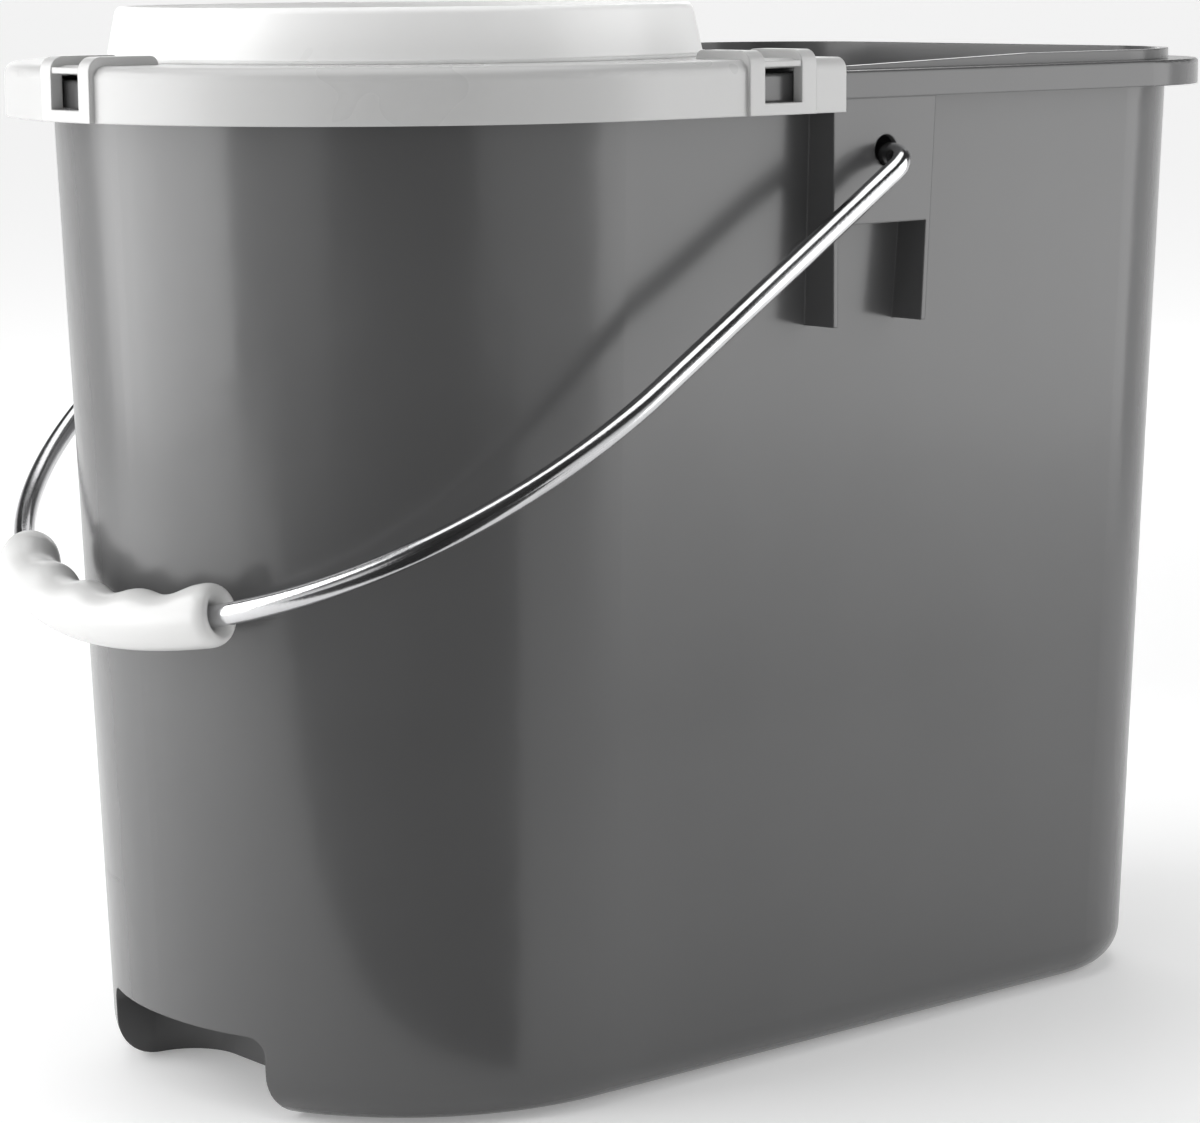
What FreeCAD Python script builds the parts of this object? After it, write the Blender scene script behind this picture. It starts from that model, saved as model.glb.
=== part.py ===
import FreeCAD, Part
import math
import os

# Mop bucket with a clip-on wringer. Millimetres. X runs along the bucket with the
# wringer at the -X end, Z is up, and the origin is on the ground under the middle
# of the bucket.

# Bucket body: plan sizes at the rim and at the base, measured from the origin
HEIGHT = 280.0
REACH_LEFT_TOP = 166.0
REACH_LEFT_BASE = 156.0
REACH_RIGHT_TOP = 166.0
REACH_RIGHT_BASE = 158.0
HALF_WIDTH_TOP = 98.0
HALF_WIDTH_BASE = 88.5
ROUND_END_RADIUS_TOP = 96.0
ROUND_END_RADIUS_BASE = 87.0
SQUARE_END_RADIUS_TOP = 43.0
SQUARE_END_RADIUS_BASE = 39.0
WALL = 2.4
FLOOR = 2.8
BASE_EDGE_RADIUS = 13.0

# Rim: a flat top with a turned-down skirt, and a raised lip along its inner edge
RIM_OVERHANG = 9.5
RIM_DROP = 7.4
RIM_THICKNESS = 2.0
RIM_EDGE_RADIUS = 1.0
LIP_WIDTH = 3.0
LIP_RISE_LOW = 1.0
LIP_RISE_HIGH = 3.0
LIP_RAMP_START = 10.0
LIP_RAMP_END = 80.0

# Tipping recess: a finger pocket in the base at the round end
RECESS_HALF_WIDTH = 37.0
RECESS_HEIGHT = 23.0
RECESS_DEPTH = 36.0
RECESS_BACK_RADIUS = 16.0
RECESS_CEILING_RADIUS = 5.0
RECESS_MOUTH_RADIUS = 6.0

# Bail brackets: a plate level with the rim's skirt, held off the wall by two ribs
BRACKET_LEFT = -4.8
BRACKET_RIGHT_TOP = 34.1
BRACKET_RIGHT_BASE = 30.3
BRACKET_PLATE_BASE = 238.4
BRACKET_RIB_BASE = 210.7
BRACKET_SETBACK = 0.25
BRACKET_PLATE_THICKNESS = 2.0
BRACKET_RIB_THICKNESS = 1.7
BAIL_HOLE_X = 14.8
BAIL_HOLE_Z = 258.2
BAIL_HOLE_RADIUS = 4.3

# Wringer frame: a plate over the round end whose skirt wraps the bucket's rim
FRAME_THICKNESS = 2.4
FRAME_PLATE_THICKNESS = 2.6
FRAME_TOP = 283.9
FRAME_OVERHANG = 12.8
FRAME_SKIRT_BASE = 269.2
FRAME_END_X = -3.6
FRAME_EDGE_RADIUS = 3.5
FRAME_RING_RADIUS = 87.0
WINDOW_WIDTH = 13.3
WINDOW_BASE = 272.4
WINDOW_TOP = 281.9
SIDE_WINDOW_X = -27.4
WINDOW_RIB_WIDTH = 5.3
WINDOW_RIB_RISE = 2.4
WINDOW_RIB_PROUD = 1.0
WINDOW_RIB_LENGTH = 20.5
WINDOW_RIB_RADIUS = 4.0

# Wringer basket: a splash collar above the frame and a perforated cone below it
BASKET_X = -68.2
COLLAR_FOOT_RADIUS = 83.2
COLLAR_TOP_RADIUS = 80.3
COLLAR_TOP = 298.5
COLLAR_EDGE_RADIUS = 2.1
COLLAR_FOOT_WIDTH = 1.6
COLLAR_FOOT_HEIGHT = 1.0
BASKET_WALL = 2.4
BASKET_SPIGOT_RADIUS = 78.0
CONE_TOP_RADIUS = 74.0
CONE_BASE_RADIUS = 44.0
CONE_SHOULDER_Z = 272.0
CONE_BASE_Z = 172.0
DRAIN_SLOTS = 14
DRAIN_SLOT_HALF_WIDTH = 3.5
DRAIN_SLOT_START = 0.12
DRAIN_SLOT_END = 0.80
FLOOR_DRAINS = 6
FLOOR_DRAIN_RADIUS = 5.0
FLOOR_DRAIN_RING_RADIUS = 24.0
RUNNING_GAP = 0.3

# Bail: a round steel wire, straight arms and a half circle, with a moulded grip
WIRE_RADIUS = 3.0
BAIL_PIVOT_X = 15.2
BAIL_PIVOT_Z = 257.35
BAIL_HALF_WIDTH = 116.8
BAIL_ARM_LENGTH = 107.4
BAIL_BEND_RADIUS = 8.0
BAIL_STUB_INNER_Y = 99.6
BAIL_REST_DEGREES = 32.3
GRIP_RADIUS = 8.0
GRIP_HALF_ANGLE = 26.5
GRIP_SHIFT_ANGLE = 3.0
GRIP_BORE_GAP = 0.12
GRIP_GROOVES = 4
GRIP_GROOVE_RADIUS = 13.0
GRIP_GROOVE_DEPTH = 2.2
GRIP_GROOVE_TILT = 25.0

CLEAR = 400.0


def vec(x, y, z):
    return FreeCAD.Vector(x, y, z)


def box(x0, x1, y0, y1, z0, z1):
    return Part.makeBox(x1 - x0, y1 - y0, z1 - z0, vec(x0, y0, z0))


def prism(points, direction):
    """A solid from a closed polygon of points, pushed along a vector."""
    return Part.Face(Part.makePolygon(points + points[:1])).extrude(direction)


def fuse_all(shapes):
    return shapes[0].multiFuse(shapes[1:]).removeSplitter()


def mirror_y(shape):
    return shape.mirror(vec(0, 0, 0), vec(0, 1, 0))


def blend(base, top, z):
    return base + (top - base) * z / HEIGHT


def outline(z, grow, plan_z=None):
    """The bucket's plan outline at plan_z, offset by grow and laid at height z."""
    level = z if plan_z is None else plan_z
    left = blend(REACH_LEFT_BASE, REACH_LEFT_TOP, level) + grow
    right = blend(REACH_RIGHT_BASE, REACH_RIGHT_TOP, level) + grow
    half = blend(HALF_WIDTH_BASE, HALF_WIDTH_TOP, level) + grow
    r_left = blend(ROUND_END_RADIUS_BASE, ROUND_END_RADIUS_TOP, level) + grow
    r_right = blend(SQUARE_END_RADIUS_BASE, SQUARE_END_RADIUS_TOP, level) + grow
    corners = (
        (r_left - left, r_left - half, r_left, 180.0),
        (right - r_right, r_right - half, r_right, 270.0),
        (right - r_right, half - r_right, r_right, 0.0),
        (r_left - left, half - r_left, r_left, 90.0),
    )

    def on_corner(corner, turn):
        x, y, radius, start = corner
        angle = math.radians(start + turn)
        return vec(x + radius * math.cos(angle), y + radius * math.sin(angle), z)

    edges = []
    for index, corner in enumerate(corners):
        start, middle, end = (on_corner(corner, turn) for turn in (0.0, 45.0, 90.0))
        edges.append(Part.Arc(start, middle, end).toShape())
        following = corners[(index + 1) % len(corners)]
        edges.append(Part.makeLine(end, on_corner(following, 0.0)))
    return Part.Wire(edges)


def tapered_solid(z_low, z_high, grow, edge_radius):
    """The tapering body shape between two heights, its base edge rounded."""
    solid = Part.makeLoft([outline(z_low, grow), outline(z_high, grow)], True, True)
    base_edges = [e for e in solid.Edges if e.BoundBox.ZMax < z_low + 0.01]
    return solid.makeFillet(edge_radius, base_edges)


def slab(z_low, z_high, grow):
    """An upright solid of the rim's plan, offset by grow."""
    return Part.Face(outline(z_low, grow, HEIGHT)).extrude(vec(0, 0, z_high - z_low))


def ring(z_low, z_high, inner_grow, outer_grow):
    """An upright band that follows the rim's plan between two offsets."""
    return slab(z_low, z_high, outer_grow).cut(slab(z_low - 1, z_high + 1, inner_grow))


def recess_solid(grow):
    """The finger pocket at the round end, grown by the wall for the inside."""
    back = -REACH_LEFT_BASE + RECESS_DEPTH + grow
    half = RECESS_HALF_WIDTH + grow
    block = box(-CLEAR, back, -half, half, -CLEAR, RECESS_HEIGHT + grow)
    upright = [e for e in block.Edges if e.BoundBox.XMin > back - 1 and e.BoundBox.ZLength > 50]
    block = block.makeFillet(RECESS_BACK_RADIUS + grow, upright)
    top = RECESS_HEIGHT + grow - 0.01
    ceiling = [e for e in block.Edges if e.BoundBox.ZMin > top and e.BoundBox.XLength > 1]
    return block.makeFillet(RECESS_CEILING_RADIUS + grow, ceiling)


def bracket():
    """One bail bracket on the -Y side, running into the wall behind it."""
    face = -(HALF_WIDTH_TOP + RIM_OVERHANG - BRACKET_SETBACK)
    root = -(HALF_WIDTH_BASE + 1.0)
    top = HEIGHT - RIM_DROP + 1.0
    slope = (BRACKET_RIGHT_TOP - BRACKET_RIGHT_BASE) / (top - BRACKET_RIB_BASE)

    def right_edge(z):
        return BRACKET_RIGHT_TOP - slope * (top - z)

    plate = prism(
        [
            vec(BRACKET_LEFT, face, BRACKET_PLATE_BASE),
            vec(right_edge(BRACKET_PLATE_BASE), face, BRACKET_PLATE_BASE),
            vec(right_edge(top), face, top),
            vec(BRACKET_LEFT, face, top),
        ],
        vec(0, BRACKET_PLATE_THICKNESS, 0),
    )
    depth = vec(0, root - face, 0)
    left_rib = prism(
        [
            vec(BRACKET_LEFT, face, BRACKET_RIB_BASE),
            vec(BRACKET_LEFT + BRACKET_RIB_THICKNESS, face, BRACKET_RIB_BASE),
            vec(BRACKET_LEFT + BRACKET_RIB_THICKNESS, face, top),
            vec(BRACKET_LEFT, face, top),
        ],
        depth,
    )
    right_rib = prism(
        [
            vec(right_edge(BRACKET_RIB_BASE) - BRACKET_RIB_THICKNESS, face, BRACKET_RIB_BASE),
            vec(right_edge(BRACKET_RIB_BASE), face, BRACKET_RIB_BASE),
            vec(right_edge(top), face, top),
            vec(right_edge(top) - BRACKET_RIB_THICKNESS, face, top),
        ],
        depth,
    )
    hole = Part.makeCylinder(
        BAIL_HOLE_RADIUS, BRACKET_PLATE_THICKNESS + 2, vec(BAIL_HOLE_X, face - 1, BAIL_HOLE_Z), vec(0, 1, 0)
    )
    return fuse_all([plate, left_rib, right_rib]).cut(hole)


def rim_lip():
    """The raised inner lip, which climbs from low to high towards the square end."""
    lip = ring(HEIGHT - RIM_THICKNESS, HEIGHT + LIP_RISE_HIGH, -WALL, LIP_WIDTH - WALL)
    cutter = prism(
        [
            vec(-CLEAR, -CLEAR, HEIGHT + LIP_RISE_LOW),
            vec(LIP_RAMP_START, -CLEAR, HEIGHT + LIP_RISE_LOW),
            vec(LIP_RAMP_END, -CLEAR, HEIGHT + LIP_RISE_HIGH),
            vec(LIP_RAMP_END, -CLEAR, HEIGHT + LIP_RISE_HIGH + 5),
            vec(-CLEAR, -CLEAR, HEIGHT + LIP_RISE_HIGH + 5),
        ],
        vec(0, 2 * CLEAR, 0),
    )
    return lip.cut(cutter)


def rim():
    """The rim: a flat band with a turned-down skirt, open underneath."""
    outer = slab(HEIGHT - RIM_DROP, HEIGHT, RIM_OVERHANG)
    top_edge = [e for e in outer.Edges if e.BoundBox.ZMin > HEIGHT - 0.01]
    outer = outer.makeFillet(RIM_EDGE_RADIUS, top_edge)
    channel = ring(0.0, HEIGHT - RIM_THICKNESS, -WALL, RIM_OVERHANG - RIM_THICKNESS)
    return outer.cut(channel).cut(slab(0.0, CLEAR, -WALL))


def bucket_body():
    """The one-piece bucket: tapered wall and floor, rim, brackets and recess."""
    outer = tapered_solid(0.0, HEIGHT, 0.0, BASE_EDGE_RADIUS).cut(recess_solid(0.0))
    cavity = tapered_solid(FLOOR, HEIGHT + 5.0, -WALL, BASE_EDGE_RADIUS - WALL).cut(recess_solid(WALL))
    near = bracket()
    solid = fuse_all([outer, rim(), rim_lip(), near, mirror_y(near)])
    return solid.cut(cavity)


def window_rib():
    """One raised rib, in its own frame: +X outwards from the skirt, Y its width."""
    proud = WINDOW_RIB_PROUD
    top = FRAME_TOP + WINDOW_RIB_RISE
    radius = WINDOW_RIB_RADIUS
    inner = -WINDOW_RIB_LENGTH
    inner_radius = WINDOW_RIB_RISE
    quarter = math.sqrt(0.5)
    corner = vec(proud - radius * (1 - quarter), 0, top - radius * (1 - quarter))
    tail = vec(inner + inner_radius * (1 - quarter), 0, top - inner_radius * (1 - quarter))
    sunk = FRAME_TOP - 1.0
    inside = 1.0 - FRAME_THICKNESS
    edges = [
        Part.makeLine(vec(inside, 0, FRAME_SKIRT_BASE), vec(proud, 0, FRAME_SKIRT_BASE)),
        Part.makeLine(vec(proud, 0, FRAME_SKIRT_BASE), vec(proud, 0, top - radius)),
        Part.Arc(vec(proud, 0, top - radius), corner, vec(proud - radius, 0, top)).toShape(),
        Part.makeLine(vec(proud - radius, 0, top), vec(inner + inner_radius, 0, top)),
        Part.Arc(vec(inner + inner_radius, 0, top), tail, vec(inner, 0, top - inner_radius)).toShape(),
        Part.makeLine(vec(inner, 0, top - inner_radius), vec(inner, 0, sunk)),
        Part.makeLine(vec(inner, 0, sunk), vec(inside, 0, sunk)),
        Part.makeLine(vec(inside, 0, sunk), vec(inside, 0, FRAME_SKIRT_BASE)),
    ]
    rib = Part.Face(Part.Wire(edges)).extrude(vec(0, WINDOW_RIB_WIDTH, 0))
    return rib


def place_on_skirt(shape, x, y, turn):
    """Move a shape from the skirt's own frame to a point on it, turned about Z."""
    placed = shape.copy()
    placed.rotate(vec(0, 0, 0), vec(0, 0, 1), turn)
    placed.translate(vec(x, y, 0))
    return placed


def window_places():
    """Where the three clip windows are: a point on the skirt and its direction."""
    side = HALF_WIDTH_TOP + FRAME_OVERHANG
    end = REACH_LEFT_TOP + FRAME_OVERHANG
    return ((SIDE_WINDOW_X, -side, -90.0), (SIDE_WINDOW_X, side, 90.0), (-end, 0.0, 180.0))


def wringer_frame():
    """The clip-on frame: plate, skirt, three clip windows and their ribs."""
    plate_base = FRAME_TOP - FRAME_PLATE_THICKNESS
    cover = slab(FRAME_SKIRT_BASE, FRAME_TOP, FRAME_OVERHANG)
    keep = box(-CLEAR, FRAME_END_X, -CLEAR, CLEAR, 0.0, CLEAR)
    cover = cover.common(keep)
    top_edge = [
        e for e in cover.Edges
        if e.BoundBox.ZMin > FRAME_TOP - 0.01 and e.BoundBox.XMin < FRAME_END_X - 0.01
    ]
    cover = cover.makeFillet(FRAME_EDGE_RADIUS, top_edge)
    hollow = slab(0.0, plate_base, FRAME_OVERHANG - FRAME_THICKNESS)
    bulge = Part.makeCylinder(FRAME_RING_RADIUS, FRAME_PLATE_THICKNESS, vec(BASKET_X, 0, plate_base))
    frame = fuse_all([cover.cut(hollow), bulge])
    ribs = []
    for x, y, turn in window_places():
        for side in (WINDOW_WIDTH / 2, -WINDOW_WIDTH / 2 - WINDOW_RIB_WIDTH):
            rib = window_rib()
            rib.translate(vec(0, side, 0))
            ribs.append(place_on_skirt(rib, x, y, turn))
        sill = box(-0.5, WINDOW_RIB_PROUD, -WINDOW_WIDTH / 2, WINDOW_WIDTH / 2, FRAME_SKIRT_BASE, WINDOW_BASE)
        ribs.append(place_on_skirt(sill, x, y, turn))
        lintel = box(-FRAME_THICKNESS, WINDOW_RIB_PROUD - 0.3, -WINDOW_WIDTH / 2, WINDOW_WIDTH / 2,
                     WINDOW_TOP, FRAME_TOP - 0.4)
        ribs.append(place_on_skirt(lintel, x, y, turn))
    frame = fuse_all([frame] + ribs)
    opening = Part.makeCylinder(BASKET_SPIGOT_RADIUS + RUNNING_GAP, CLEAR, vec(BASKET_X, 0, 0))
    frame = frame.cut(opening)
    for x, y, turn in window_places():
        hole = box(-FRAME_THICKNESS - 3, 5.0, -WINDOW_WIDTH / 2, WINDOW_WIDTH / 2, WINDOW_BASE, WINDOW_TOP)
        frame = frame.cut(place_on_skirt(hole, x, y, turn))
    return frame.removeSplitter()


def revolve_profile(points):
    """A solid of revolution about the basket's axis from (radius, height) points."""
    corners = [vec(BASKET_X + radius, 0, z) for radius, z in points]
    face = Part.Face(Part.makePolygon(corners + corners[:1]))
    return face.revolve(vec(BASKET_X, 0, 0), vec(0, 0, 1), 360)


def wringer_basket():
    """The round basket: collar and foot above the frame, drained cone below."""
    collar_wall = BASKET_WALL
    inner_top = COLLAR_TOP_RADIUS - collar_wall
    basket = revolve_profile([
        (COLLAR_TOP_RADIUS, COLLAR_TOP),
        (COLLAR_FOOT_RADIUS, FRAME_TOP + COLLAR_FOOT_HEIGHT),
        (COLLAR_FOOT_RADIUS + COLLAR_FOOT_WIDTH, FRAME_TOP + COLLAR_FOOT_HEIGHT),
        (COLLAR_FOOT_RADIUS + COLLAR_FOOT_WIDTH, FRAME_TOP),
        (BASKET_SPIGOT_RADIUS, FRAME_TOP),
        (BASKET_SPIGOT_RADIUS, CONE_SHOULDER_Z),
        (CONE_TOP_RADIUS, CONE_SHOULDER_Z),
        (CONE_BASE_RADIUS, CONE_BASE_Z),
        (0, CONE_BASE_Z),
        (0, CONE_BASE_Z + BASKET_WALL),
        (CONE_BASE_RADIUS - BASKET_WALL, CONE_BASE_Z + BASKET_WALL),
        (CONE_TOP_RADIUS - BASKET_WALL, CONE_SHOULDER_Z + BASKET_WALL),
        (inner_top, CONE_SHOULDER_Z + 2 * BASKET_WALL),
        (inner_top, COLLAR_TOP),
    ])
    crown = [
        e for e in basket.Edges
        if e.BoundBox.ZMin > COLLAR_TOP - 0.01 and e.BoundBox.XLength > 2 * COLLAR_TOP_RADIUS - 1
    ]
    basket = basket.makeFillet(COLLAR_EDGE_RADIUS, crown)
    return basket.cut(drain_cutters())


def drain_slot():
    """The cutter for one slot that runs up the cone's wall, rounded at both ends."""
    rise = CONE_SHOULDER_Z - CONE_BASE_Z
    spread = CONE_TOP_RADIUS - CONE_BASE_RADIUS
    lean = math.atan2(spread, rise)
    along = vec(math.sin(lean), 0, math.cos(lean))
    outward = vec(math.cos(lean), 0, -math.sin(lean))
    across = vec(0, DRAIN_SLOT_HALF_WIDTH, 0)
    foot = vec(BASKET_X + CONE_BASE_RADIUS, 0, CONE_BASE_Z) - outward * (3 * BASKET_WALL)
    slant = math.hypot(rise, spread)
    low = foot + along * (slant * DRAIN_SLOT_START)
    high = foot + along * (slant * DRAIN_SLOT_END)
    tip = along * DRAIN_SLOT_HALF_WIDTH
    edges = [
        Part.makeLine(low + across, high + across),
        Part.Arc(high + across, high + tip, high - across).toShape(),
        Part.makeLine(high - across, low - across),
        Part.Arc(low - across, low - tip, low + across).toShape(),
    ]
    return Part.Face(Part.Wire(edges)).extrude(outward * (6 * BASKET_WALL))


def drain_cutters():
    """Slots all round the cone, and a ring of round holes in its floor."""
    cutters = []
    for index in range(DRAIN_SLOTS):
        slot = drain_slot()
        slot.rotate(vec(BASKET_X, 0, 0), vec(0, 0, 1), 360.0 * index / DRAIN_SLOTS)
        cutters.append(slot)
    for index in range(FLOOR_DRAINS):
        turn = 2 * math.pi * index / FLOOR_DRAINS
        x = BASKET_X + FLOOR_DRAIN_RING_RADIUS * math.cos(turn)
        y = FLOOR_DRAIN_RING_RADIUS * math.sin(turn)
        below = vec(x, y, CONE_BASE_Z - 1)
        cutters.append(Part.makeCylinder(FLOOR_DRAIN_RADIUS, BASKET_WALL + 2, below))
    return Part.makeCompound(cutters)


def bail_point(reach, y):
    """A point in the bail's plane at rest, reach mm out from the pivot axis."""
    angle = math.radians(BAIL_REST_DEGREES)
    return vec(BAIL_PIVOT_X - reach * math.cos(angle), y, BAIL_PIVOT_Z - reach * math.sin(angle))


def bail_plane_normal():
    angle = math.radians(BAIL_REST_DEGREES)
    return vec(math.sin(angle), 0, -math.cos(angle))


def bail_path():
    """The wire's centre line: stub, bend, arm, half circle, arm, bend, stub."""
    bend = BAIL_BEND_RADIUS
    half = BAIL_HALF_WIDTH
    arm = BAIL_ARM_LENGTH
    inset = bend * (1 - math.sqrt(0.5))
    edges = []
    for side in (-1, 1):
        stub = Part.makeLine(bail_point(0, side * BAIL_STUB_INNER_Y), bail_point(0, side * (half - bend)))
        corner = Part.Arc(
            bail_point(0, side * (half - bend)),
            bail_point(inset, side * (half - inset)),
            bail_point(bend, side * half),
        ).toShape()
        straight = Part.makeLine(bail_point(bend, side * half), bail_point(arm, side * half))
        edges.append([stub, corner, straight])
    bow = Part.Arc(bail_point(arm, -half), bail_point(arm + half, 0), bail_point(arm, half)).toShape()
    return Part.Wire(edges[0] + [bow] + edges[1][::-1])


def sweep_circle(path, radius, start, tangent):
    section = Part.Wire([Part.makeCircle(radius, start, tangent)])
    return path.makePipeShell([section], True, False)


def bail_wire():
    start = bail_point(0, -BAIL_STUB_INNER_Y)
    return sweep_circle(bail_path(), WIRE_RADIUS, start, vec(0, -1, 0))


def arc_point(radius, degrees):
    """A point at a radius and angle about the centre of the bail's half circle."""
    angle = math.radians(degrees)
    return bail_point(BAIL_ARM_LENGTH + radius * math.cos(angle), radius * math.sin(angle))


def bail_grip():
    """The moulded grip on the bow, bored for the wire, with finger grooves."""
    half = BAIL_HALF_WIDTH
    first = GRIP_SHIFT_ANGLE - GRIP_HALF_ANGLE
    last = GRIP_SHIFT_ANGLE + GRIP_HALF_ANGLE
    arc = Part.Wire([Part.Arc(
        arc_point(half, first), arc_point(half, GRIP_SHIFT_ANGLE), arc_point(half, last)
    ).toShape()])
    tangent = arc_point(half, first + 0.5) - arc_point(half, first - 0.5)
    grip = sweep_circle(arc, GRIP_RADIUS, arc_point(half, first), tangent)
    pitch = 2 * GRIP_HALF_ANGLE / (GRIP_GROOVES + 0.4)
    reach = GRIP_RADIUS + GRIP_GROOVE_RADIUS - GRIP_GROOVE_DEPTH
    tilt = math.radians(GRIP_GROOVE_TILT)
    for index in range(GRIP_GROOVES):
        turn = GRIP_SHIFT_ANGLE + (index - (GRIP_GROOVES - 1) / 2) * pitch
        inward = (arc_point(half - 1.0, turn) - arc_point(half, turn)).normalize()
        facing = inward * math.cos(tilt) - bail_plane_normal() * math.sin(tilt)
        along = (arc_point(half, turn + 0.5) - arc_point(half, turn - 0.5)).normalize()
        axis = along.cross(facing)
        centre = arc_point(half, turn) + facing * reach - axis * 20
        grip = grip.cut(Part.makeCylinder(GRIP_GROOVE_RADIUS, 40, centre, axis))
    longer = Part.Wire([Part.Arc(
        arc_point(half, first - 5), arc_point(half, GRIP_SHIFT_ANGLE), arc_point(half, last + 5)
    ).toShape()])
    tangent = arc_point(half, first - 4.5) - arc_point(half, first - 5.5)
    bore = sweep_circle(longer, WIRE_RADIUS + GRIP_BORE_GAP, arc_point(half, first - 5), tangent)
    return grip.cut(bore)


PARTS = {
    "bucket_body": bucket_body,
    "wringer_frame": wringer_frame,
    "wringer_basket": wringer_basket,
    "bail_wire": bail_wire,
    "bail_grip": bail_grip,
}


def main():
    os.makedirs("parts", exist_ok=True)
    for name, make in PARTS.items():
        shape = make()
        print(name, len(shape.Solids), shape.isValid(), round(shape.Volume / 1000, 1), "cm3", shape.BoundBox)
        shape.exportStep("parts/" + name + ".step")


main()
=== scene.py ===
"""Looks of the mop bucket with wringer, in metres, in the frame of its CAD model."""
import math

import bpy
from mathutils import Matrix, Vector


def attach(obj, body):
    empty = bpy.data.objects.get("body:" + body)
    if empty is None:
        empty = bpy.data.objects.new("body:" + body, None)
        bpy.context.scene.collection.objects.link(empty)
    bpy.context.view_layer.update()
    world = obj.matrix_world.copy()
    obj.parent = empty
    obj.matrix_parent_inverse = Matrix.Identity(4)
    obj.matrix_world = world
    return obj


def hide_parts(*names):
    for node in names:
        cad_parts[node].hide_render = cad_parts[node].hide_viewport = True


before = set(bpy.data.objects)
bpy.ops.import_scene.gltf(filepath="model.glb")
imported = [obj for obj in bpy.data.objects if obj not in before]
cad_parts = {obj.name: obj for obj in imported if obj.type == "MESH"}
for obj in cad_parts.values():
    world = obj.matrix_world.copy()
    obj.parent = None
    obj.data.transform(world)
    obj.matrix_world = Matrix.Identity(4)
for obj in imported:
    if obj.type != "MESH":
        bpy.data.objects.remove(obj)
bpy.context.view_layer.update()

# Camera: where it stands, which way it looks and how long its lens is
CAMERA_PLACE = Vector((-0.6916, -0.8309, 0.3089))
CAMERA_YAW = math.radians(39.82)
CAMERA_PITCH = math.radians(9.245)
CAMERA_ROLL = math.radians(-0.468)
SENSOR_WIDTH = 36.0
LENS = 110.0

# Studio: floor, world, softboxes, and dark cards that only reflections see
FLOOR_SIZE = 80.0
FLOOR_COLOUR = (0.86, 0.86, 0.86)
FLOOR_GLOW_NEAR = 0.26
FLOOR_GLOW_FAR = 0.93
FLOOR_GLOW_START = 0.55
FLOOR_GLOW_END = 2.0
HORIZON_COLOUR = (0.80, 0.80, 0.80)
SKY_COLOUR = (0.04, 0.04, 0.04)
HORIZON_TOP = 0.12
SKY_BOTTOM = 0.35
# name: place, the point it faces, width, height, power
SOFTBOXES = {
    "left_box": ((-0.78, 0.46, 0.48), (-0.07, 0.0, 0.25), 1.0, 0.95, 10.0),
    "right_box": ((0.62, -0.66, 0.42), (0.05, 0.0, 0.2), 0.7, 0.85, 4.3),
    "top_box": ((-0.1, 0.1, 1.7), (0.0, 0.0, 0.0), 1.8, 1.8, 19.0),
    "back_box": ((0.9, 1.3, 0.9), (0.1, 0.0, 0.2), 1.2, 1.2, 5.0),
}
# name: centre, the point it faces, width, height
DARK_CARDS = {
    "floor_card": ((-0.60, -0.72, 0.002), (-0.60, -0.72, 1.0), 1.0, 1.2),
    "edge_card": ((0.20, -0.40, 0.004), (0.20, -0.40, 1.0), 1.1, 0.012),
    "camera_card": ((-0.95, -1.14, 0.60), (0.0, 0.0, 0.60), 1.3, 1.2),
}

# Hand grip on the bail: the wire's bow, then the grip's own shape
BAIL_PIVOT = Vector((0.0152, 0.0, 0.25735))
BAIL_REST = math.radians(32.3)
BAIL_ARM = 0.1074
BOW_RADIUS = 0.1168
WIRE_RADIUS = 0.003
GRIP_HALF_ANGLE = math.radians(26.5)
GRIP_SHIFT = math.radians(3.0)
GRIP_RADIUS = 0.0078
GRIP_FLARE = 0.0005
GRIP_GROOVES = 4
GRIP_GROOVE_DEPTH = 0.0019
GRIP_PEAK_RISE = 0.0009
GRIP_GROOVE_TURN = math.radians(25.0)
GRIP_END_ROUND = 0.0045
GRIP_DIMPLE = 0.0035
GRIP_BORE_GAP = 0.0002
GRIP_GROOVE_MARGIN = 0.25
GRIP_GROOVE_SHARPNESS = 2.4
GRIP_FACING_SPREAD = 0.8
GRIP_END_SLOPE = 0.55
GRIP_END_CROWDING = 0.35
GRIP_RINGS = 161
GRIP_BORE_RINGS = 40
GRIP_SIDES = 48

# Edges that catch the light as if slightly rounded
EDGE_RADIUS = 0.0007
BEVEL_SAMPLES = 6

# The middle part of a noise's values, which tone and gloss follow
TONE_NOISE = (0.3, 0.7)
GLOSS_NOISE = (0.25, 0.75)
UNSTRETCHED = (1.0, 1.0, 1.0)
SCRATCH_EDGE = 0.06

# Linear colours of the object, with painted shade in the frame's white and painted light in the
# basket's white
BUCKET_GREY = (0.084, 0.084, 0.085)
# One white plastic in two copies: the frame's darker, as painted shade on its skirt, the basket's
# lighter, as painted light on its collar
FRAME_WHITE_PAINTED_SHADE = (0.50, 0.50, 0.497)
BASKET_WHITE_PAINTED_LIGHT = (0.88, 0.88, 0.875)
GRIP_WHITE = (0.62, 0.62, 0.615)
STEEL = (0.62, 0.62, 0.63)


def new_material(name):
    """An empty node material with its principled shader, and its node tree."""
    material = bpy.data.materials.new(name)
    material.use_nodes = True
    tree = material.node_tree
    return material, tree, tree.nodes["Principled BSDF"]


def object_coordinates(tree, stretch):
    """Object coordinates scaled per axis, for every texture of a material."""
    coordinates = tree.nodes.new("ShaderNodeTexCoord")
    mapping = tree.nodes.new("ShaderNodeMapping")
    mapping.inputs["Scale"].default_value = stretch
    tree.links.new(coordinates.outputs["Object"], mapping.inputs["Vector"])
    return mapping.outputs["Vector"]


def noise(tree, vector, scale, detail=3.0, roughness=0.55):
    """A noise texture's value, at so many features per metre."""
    texture = tree.nodes.new("ShaderNodeTexNoise")
    texture.inputs["Scale"].default_value = scale
    texture.inputs["Detail"].default_value = detail
    texture.inputs["Roughness"].default_value = roughness
    tree.links.new(vector, texture.inputs["Vector"])
    return texture.outputs["Fac"]


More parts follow.
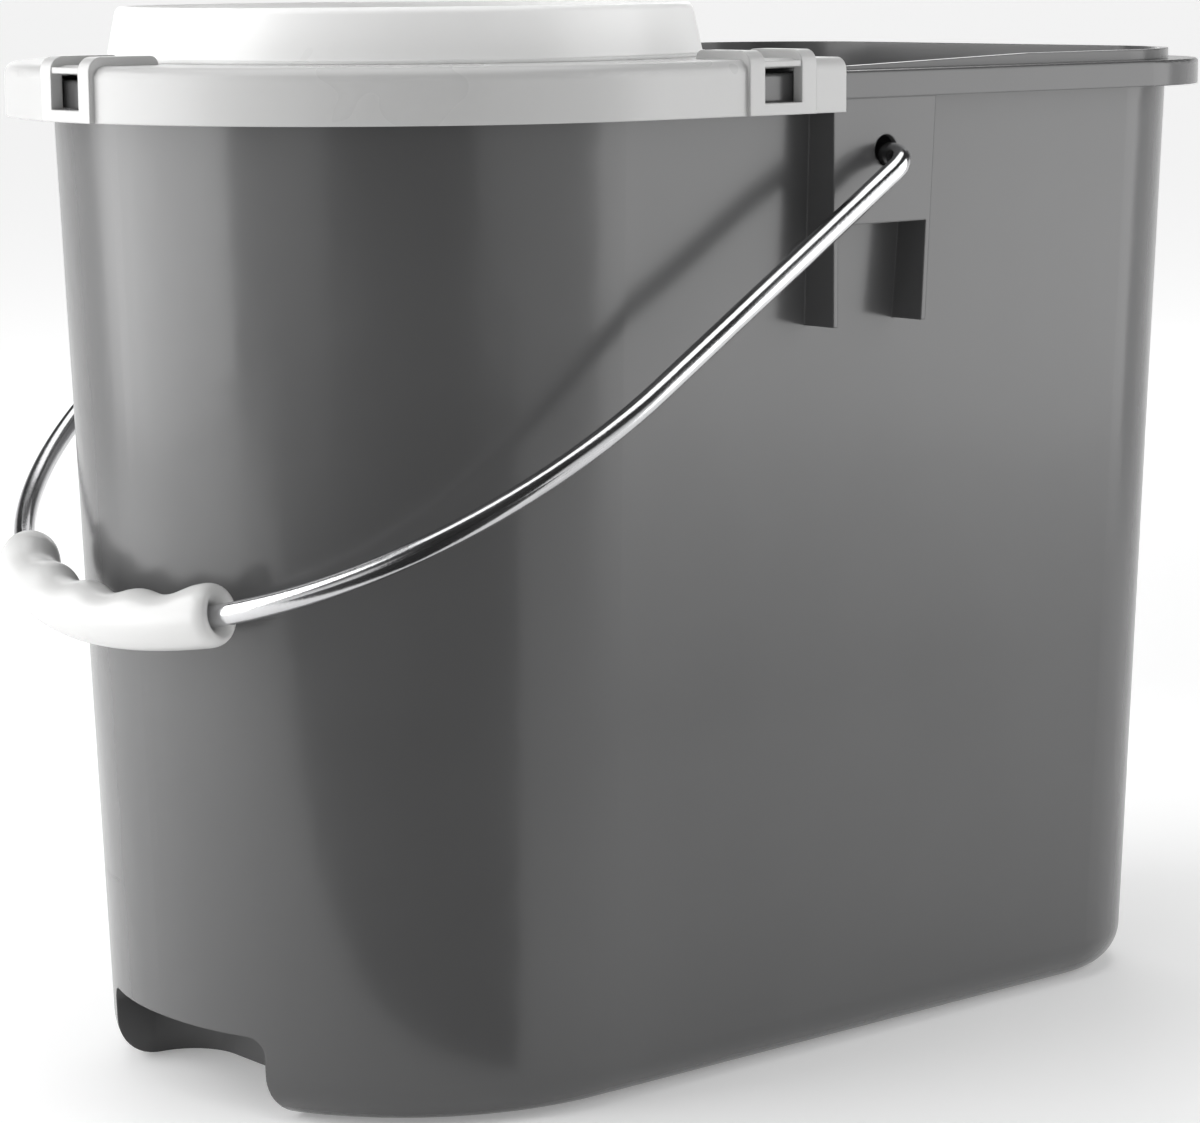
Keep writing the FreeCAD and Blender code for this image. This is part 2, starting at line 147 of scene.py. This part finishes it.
def remap(tree, value, low, high, out_low, out_high):
    """A value taken from one range to another, and kept inside it."""
    node = tree.nodes.new("ShaderNodeMapRange")
    node.clamp = True
    node.inputs["From Min"].default_value = low
    node.inputs["From Max"].default_value = high
    node.inputs["To Min"].default_value = out_low
    node.inputs["To Max"].default_value = out_high
    tree.links.new(value, node.inputs["Value"])
    return node.outputs["Result"]


def combine(tree, operation, first, second):
    """Two values, each a socket or a number, put through a math node."""
    node = tree.nodes.new("ShaderNodeMath")
    node.operation = operation
    for socket, value in zip(node.inputs, (first, second)):
        if isinstance(value, float):
            socket.default_value = value
        else:
            tree.links.new(value, socket)
    return node.outputs["Value"]


def mix_colours(tree, factor, first, second):
    """A colour between two fixed ones."""
    node = tree.nodes.new("ShaderNodeMix")
    node.data_type = "RGBA"
    node.inputs["A"].default_value = (*first, 1.0)
    node.inputs["B"].default_value = (*second, 1.0)
    tree.links.new(factor, node.inputs["Factor"])
    return node.outputs["Result"]


def bump(tree, shader, height, distance, edge_radius=0.0):
    """Fine relief, over edges that catch the light as if slightly rounded."""
    node = tree.nodes.new("ShaderNodeBump")
    node.inputs["Distance"].default_value = distance
    tree.links.new(height, node.inputs["Height"])
    if edge_radius:
        rounded = tree.nodes.new("ShaderNodeBevel")
        rounded.samples = BEVEL_SAMPLES
        rounded.inputs["Radius"].default_value = edge_radius
        tree.links.new(rounded.outputs["Normal"], node.inputs["Normal"])
    tree.links.new(node.outputs["Normal"], shader.inputs["Normal"])
    return node.outputs["Normal"]


def scratches(tree, stretch, threshold):
    """Fine short marks: a noise stretched along one direction and cut off high."""
    fine = noise(tree, object_coordinates(tree, stretch), 9.0, 2.0, 0.5)
    return remap(tree, fine, threshold, threshold + SCRATCH_EDGE, 0.0, 1.0)


def tinted(colour, factor):
    """A colour made lighter or darker."""
    return tuple(channel * factor for channel in colour)


def bucket_material():
    """Glossy grey polypropylene with soft flow marks, dust and faint scuffs."""
    material, tree, shader = new_material("bucket_plastic")
    plain = object_coordinates(tree, UNSTRETCHED)
    broad = noise(tree, plain, 9.0)
    tall = noise(tree, object_coordinates(tree, (1.0, 1.0, 0.35)), 14.0, 2.0)
    marks = scratches(tree, (2.0, 2.0, 18.0), 0.74)
    colour = mix_colours(tree, remap(tree, broad, *TONE_NOISE, 0.0, 1.0),
                         tinted(BUCKET_GREY, 0.95), tinted(BUCKET_GREY, 1.06))
    tree.links.new(colour, shader.inputs["Base Color"])
    gloss = remap(tree, broad, *GLOSS_NOISE, 0.20, 0.27)
    tree.links.new(combine(tree, "ADD", gloss, combine(tree, "MULTIPLY", marks, 0.05)),
                   shader.inputs["Roughness"])
    grain = noise(tree, plain, 900.0, 2.0)
    height = combine(tree, "ADD", tall, combine(tree, "MULTIPLY", grain, 0.012))
    relief = bump(tree, shader, height, 0.0006, EDGE_RADIUS)
    tree.links.new(relief, shader.inputs["Coat Normal"])
    shader.inputs["IOR"].default_value = 1.46
    shader.inputs["Coat Weight"].default_value = 0.20
    shader.inputs["Coat Roughness"].default_value = 0.14
    return material


def white_plastic_material(name, colour, roughness_low, roughness_high):
    """White moulded plastic: a little uneven in colour and gloss, finely grained."""
    material, tree, shader = new_material(name)
    plain = object_coordinates(tree, UNSTRETCHED)
    broad = noise(tree, plain, 16.0)
    tone = mix_colours(tree, remap(tree, broad, *TONE_NOISE, 0.0, 1.0),
                       tinted(colour, 0.975), tinted(colour, 1.01))
    tree.links.new(tone, shader.inputs["Base Color"])
    tree.links.new(remap(tree, broad, *GLOSS_NOISE, roughness_low, roughness_high),
                   shader.inputs["Roughness"])
    grain = noise(tree, plain, 700.0, 2.0)
    slow = noise(tree, plain, 14.0, 1.0)
    height = combine(tree, "ADD", combine(tree, "MULTIPLY", slow, 0.2),
                     combine(tree, "MULTIPLY", grain, 0.06))
    bump(tree, shader, height, 0.00015, EDGE_RADIUS)
    shader.inputs["IOR"].default_value = 1.49
    shader.inputs["Subsurface Weight"].default_value = 0.08
    shader.inputs["Subsurface Radius"].default_value = (0.004, 0.004, 0.004)
    shader.inputs["Subsurface Scale"].default_value = 1.0
    return material


def steel_material():
    """Bright plated wire, with faint drawing marks and a little dulling."""
    material, tree, shader = new_material("bail_steel")
    plain = object_coordinates(tree, UNSTRETCHED)
    broad = noise(tree, plain, 40.0)
    tone = mix_colours(tree, remap(tree, broad, *TONE_NOISE, 0.0, 1.0),
                       tinted(STEEL, 0.9), tinted(STEEL, 1.08))
    tree.links.new(tone, shader.inputs["Base Color"])
    tree.links.new(remap(tree, broad, *GLOSS_NOISE, 0.12, 0.22), shader.inputs["Roughness"])
    bump(tree, shader, noise(tree, plain, 1200.0, 2.0), 0.00002)
    shader.inputs["Metallic"].default_value = 1.0
    return material


def dark_card_material():
    """Almost black and matt."""
    material, _, shader = new_material("dark_card")
    shader.inputs["Base Color"].default_value = (0.01, 0.01, 0.01, 1.0)
    shader.inputs["Roughness"].default_value = 0.9
    return material


def floor_material():
    """Pale floor that glows softly, more so far from the object."""
    material, tree, shader = new_material("studio_floor")
    plain = object_coordinates(tree, UNSTRETCHED)
    tone = mix_colours(tree, remap(tree, noise(tree, plain, 2.0), *TONE_NOISE, 0.0, 1.0),
                       tinted(FLOOR_COLOUR, 0.995), FLOOR_COLOUR)
    tree.links.new(tone, shader.inputs["Base Color"])
    shader.inputs["Roughness"].default_value = 0.7
    distance = tree.nodes.new("ShaderNodeVectorMath")
    distance.operation = "LENGTH"
    tree.links.new(plain, distance.inputs[0])
    glow = remap(tree, distance.outputs["Value"], FLOOR_GLOW_START, FLOOR_GLOW_END,
                 FLOOR_GLOW_NEAR, FLOOR_GLOW_FAR)
    shader.inputs["Emission Color"].default_value = (*FLOOR_COLOUR, 1.0)
    tree.links.new(glow, shader.inputs["Emission Strength"])
    return material


def dress(node_name, material):
    """Give a CAD node its material."""
    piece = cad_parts[node_name]
    piece.data.materials.clear()
    piece.data.materials.append(material)


def bail_direction(angle):
    """A direction in the bail's plane at rest: 0 points out along the arms."""
    outward = Vector((-math.cos(BAIL_REST), 0.0, -math.sin(BAIL_REST)))
    return outward * math.cos(angle) + Vector((0.0, 1.0, 0.0)) * math.sin(angle)


def groove_share(position):
    """How deep the finger grooves are, 0 to 1, at a position along the grip."""
    across = (position * 0.5 + 0.5) * (GRIP_GROOVES + 2.0 * GRIP_GROOVE_MARGIN)
    across -= GRIP_GROOVE_MARGIN
    if across < 0.0 or across > GRIP_GROOVES:
        return 0.0
    return 1.0 - abs(math.sin(math.pi * (across - 0.5))) ** GRIP_GROOVE_SHARPNESS


def grip_radius(position, turn):
    """The grip's radius at a position from -1 to 1 and a turn about the wire."""
    facing = max(0.0, math.cos(turn - GRIP_GROOVE_TURN)) ** GRIP_FACING_SPREAD
    relief = GRIP_PEAK_RISE - GRIP_GROOVE_DEPTH * groove_share(position)
    radius = GRIP_RADIUS + GRIP_FLARE * position ** 4 + relief * facing
    half_length = GRIP_HALF_ANGLE * BOW_RADIUS
    past = (abs(position) - 1.0) * half_length + GRIP_END_ROUND
    if past > 0.0:
        share = min(1.0, past / GRIP_END_ROUND)
        radius -= GRIP_END_ROUND * GRIP_END_SLOPE * (1.0 - math.sqrt(1.0 - share * share))
    return radius


def grip_ring(position, radius_of):
    """One ring of points about the wire, at a position along the grip."""
    angle = GRIP_SHIFT + position * GRIP_HALF_ANGLE
    outward = bail_direction(angle)
    bow_centre = BAIL_PIVOT + bail_direction(0.0) * BAIL_ARM
    centre = bow_centre + outward * BOW_RADIUS
    upward = Vector((-math.sin(BAIL_REST), 0.0, math.cos(BAIL_REST)))
    ring = []
    for side in range(GRIP_SIDES):
        turn = 2.0 * math.pi * side / GRIP_SIDES
        ring.append(centre + (upward * math.sin(turn) - outward * math.cos(turn)) * radius_of(turn))
    return ring


def make_grip(material):
    """The hand grip: a tube on the bow with finger grooves and dimpled ends."""
    dimple = GRIP_DIMPLE / (GRIP_HALF_ANGLE * BOW_RADIUS)
    bore = WIRE_RADIUS + GRIP_BORE_GAP
    rings = [grip_ring(-1.0 + dimple, lambda turn: bore)]
    for index in range(GRIP_RINGS):
        crowded = -math.cos(math.pi * index / (GRIP_RINGS - 1))
        even = -1.0 + 2.0 * index / (GRIP_RINGS - 1)
        position = GRIP_END_CROWDING * crowded + (1.0 - GRIP_END_CROWDING) * even
        rings.append(grip_ring(position, lambda turn: grip_radius(position, turn)))
    for index in range(GRIP_BORE_RINGS):
        position = (1.0 - dimple) * (1.0 - 2.0 * index / GRIP_BORE_RINGS)
        rings.append(grip_ring(position, lambda turn: bore))
    points = [tuple(point) for ring in rings for point in ring]
    count = len(rings)
    faces = []
    for row in range(count):
        following = (row + 1) % count
        for side in range(GRIP_SIDES):
            after = (side + 1) % GRIP_SIDES
            faces.append((row * GRIP_SIDES + side, row * GRIP_SIDES + after,
                          following * GRIP_SIDES + after, following * GRIP_SIDES + side))
    mesh = bpy.data.meshes.new("hand_grip")
    mesh.from_pydata(points, [], faces)
    mesh.update()
    for polygon in mesh.polygons:
        polygon.use_smooth = True
    grip = bpy.data.objects.new("hand_grip", mesh)
    bpy.context.scene.collection.objects.link(grip)
    mesh.materials.append(material)
    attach(grip, "bail")
    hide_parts("bail_grip")


def make_floor():
    """The studio floor, at the height of the bucket's base."""
    bpy.ops.mesh.primitive_plane_add(size=FLOOR_SIZE, location=(0.0, 0.0, 0.0))
    floor = bpy.context.active_object
    floor.name = "studio_floor"
    floor.data.materials.append(floor_material())


def make_world():
    """A pale band along the horizon under a dark ceiling."""
    world = bpy.data.worlds.new("studio_world")
    world.use_nodes = True
    tree = world.node_tree
    coordinates = tree.nodes.new("ShaderNodeTexCoord")
    height = tree.nodes.new("ShaderNodeSeparateXYZ")
    tree.links.new(coordinates.outputs["Generated"], height.inputs["Vector"])
    share = remap(tree, height.outputs["Z"], HORIZON_TOP, SKY_BOTTOM, 0.0, 1.0)
    colour = mix_colours(tree, share, HORIZON_COLOUR, SKY_COLOUR)
    tree.links.new(colour, tree.nodes["Background"].inputs["Color"])
    bpy.context.scene.world = world


def make_softbox(name, place, target, width, height, power):
    """A rectangular lamp that the camera doesn't see."""
    light = bpy.data.lights.new(name, "AREA")
    light.shape = "RECTANGLE"
    light.size = width
    light.size_y = height
    light.energy = power
    lamp = bpy.data.objects.new(name, light)
    bpy.context.scene.collection.objects.link(lamp)
    aim(lamp, place, target)
    lamp.visible_camera = False


def aim(piece, place, target):
    """Put a lamp or card at a place, its face turned to a target."""
    piece.location = place
    direction = Vector(target) - Vector(place)
    piece.rotation_euler = direction.to_track_quat("-Z", "Y").to_euler()


def make_dark_card(name, place, target, width, height, material):
    """A dark card that is seen in reflections alone: it shades nothing."""
    bpy.ops.mesh.primitive_plane_add(size=1.0)
    card = bpy.context.active_object
    card.name = name
    card.scale = (width, height, 1.0)
    aim(card, place, target)
    card.data.materials.append(material)
    card.visible_camera = False
    card.visible_diffuse = False
    card.visible_shadow = False
    card.visible_transmission = False


def make_camera():
    """The camera, from where it stands and its three turns."""
    forward = Vector((math.sin(CAMERA_YAW) * math.cos(CAMERA_PITCH),
                      math.cos(CAMERA_YAW) * math.cos(CAMERA_PITCH),
                      -math.sin(CAMERA_PITCH)))
    level = Vector((math.cos(CAMERA_YAW), -math.sin(CAMERA_YAW), 0.0))
    upward = level.cross(forward)
    right = level * math.cos(CAMERA_ROLL) + upward * math.sin(CAMERA_ROLL)
    up = upward * math.cos(CAMERA_ROLL) - level * math.sin(CAMERA_ROLL)
    data = bpy.data.cameras.new("camera")
    data.sensor_fit = "HORIZONTAL"
    data.sensor_width = SENSOR_WIDTH
    data.lens = LENS
    camera = bpy.data.objects.new("camera", data)
    bpy.context.scene.collection.objects.link(camera)
    matrix = Matrix((right, up, -forward)).transposed().to_4x4()
    matrix.translation = CAMERA_PLACE
    camera.matrix_world = matrix
    bpy.context.scene.camera = camera


def main():
    # The frame and basket take a darker and a lighter copy of one white plastic: painted shade on
    # the frame, painted light on the basket
    frame_white_painted_shade = white_plastic_material("frame_plastic_painted_shade", FRAME_WHITE_PAINTED_SHADE, 0.26, 0.34)
    basket_white_painted_light = white_plastic_material("basket_plastic_painted_light", BASKET_WHITE_PAINTED_LIGHT, 0.26, 0.34)
    dress("bucket_body", bucket_material())
    dress("wringer_frame", frame_white_painted_shade)
    dress("wringer_basket", basket_white_painted_light)
    dress("bail_wire", steel_material())
    make_grip(white_plastic_material("grip_plastic", GRIP_WHITE, 0.22, 0.30))
    make_floor()
    make_world()
    for name, settings in SOFTBOXES.items():
        make_softbox(name, *settings)
    card_material = dark_card_material()
    for name, settings in DARK_CARDS.items():
        make_dark_card(name, *settings, card_material)
    make_camera()
    bpy.context.scene.view_settings.view_transform = "Standard"


main()
